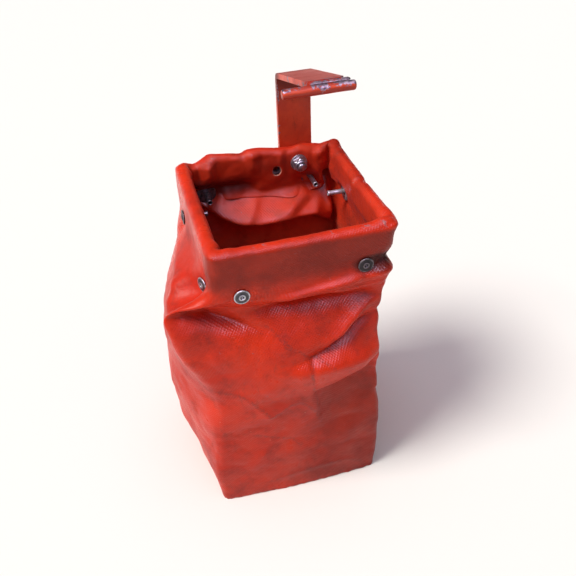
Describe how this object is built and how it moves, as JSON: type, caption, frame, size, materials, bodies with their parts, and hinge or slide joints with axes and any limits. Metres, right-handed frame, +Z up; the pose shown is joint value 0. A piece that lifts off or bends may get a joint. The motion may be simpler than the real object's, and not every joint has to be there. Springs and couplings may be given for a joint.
{
  "type": "fire blanket bag",
  "caption": "Open-topped coated-cloth bag on a square steel rim, with a steel hook bracket that swivels on one bolt; hangs up and carries a fire blanket.",
  "frame": {"origin": "on the underside of the base, straight below the centre of the square mouth", "axes": "+Z up, out of the mouth; the front faces -Y and the hook bracket is on the +Y side; +X is the right side seen from the front"},
  "size_m": [0.204, 0.1936, 0.4143],
  "materials": {
    "coated_cloth": "plastic-coated woven cloth, satin, scuffed",
    "bracket_paint": "gloss red paint, chipped to bare steel on the hook's edges",
    "fastener_steel": "dull zinc",
    "frame_steel": "mill finish, hidden in the hem"
  },
  "bodies": {
    "bag": {"front_panel": "coated_cloth", "right_panel": "coated_cloth", "back_panel": "coated_cloth", "left_panel": "coated_cloth", "bag_bottom": "coated_cloth", "rim_frame": "frame_steel", "rivet_front_left": "fastener_steel", "rivet_front_right": "fastener_steel", "rivet_right_front": "fastener_steel", "rivet_right_back": "fastener_steel", "rivet_back_right": "fastener_steel", "rivet_back_left": "fastener_steel", "rivet_left_back": "fastener_steel", "rivet_left_front": "fastener_steel", "rivet_washer_front_left": "fastener_steel", "rivet_washer_front_right": "fastener_steel", "rivet_washer_right_front": "fastener_steel", "rivet_washer_right_back": "fastener_steel", "rivet_washer_back_right": "fastener_steel", "rivet_washer_back_left": "fastener_steel", "rivet_washer_left_back": "fastener_steel", "rivet_washer_left_front": "fastener_steel", "bracket_bolt": "fastener_steel", "bracket_nut": "fastener_steel", "bracket_washer_inner": "fastener_steel", "bracket_washer_outer": "fastener_steel"},
    "bracket": {"hook_strap": "bracket_paint", "hook_rod": "bracket_paint", "hook_weld_top": "bracket_paint", "hook_weld_under": "bracket_paint"}
  },
  "joints": [
    {"name": "bracket_swivel", "type": "hinge", "parent": "bag", "child": "bracket", "pos_m": [0.0385, 0.0861, 0.298], "axis": [0, 1, 0], "range_deg": [-53, 72]}
  ]
}
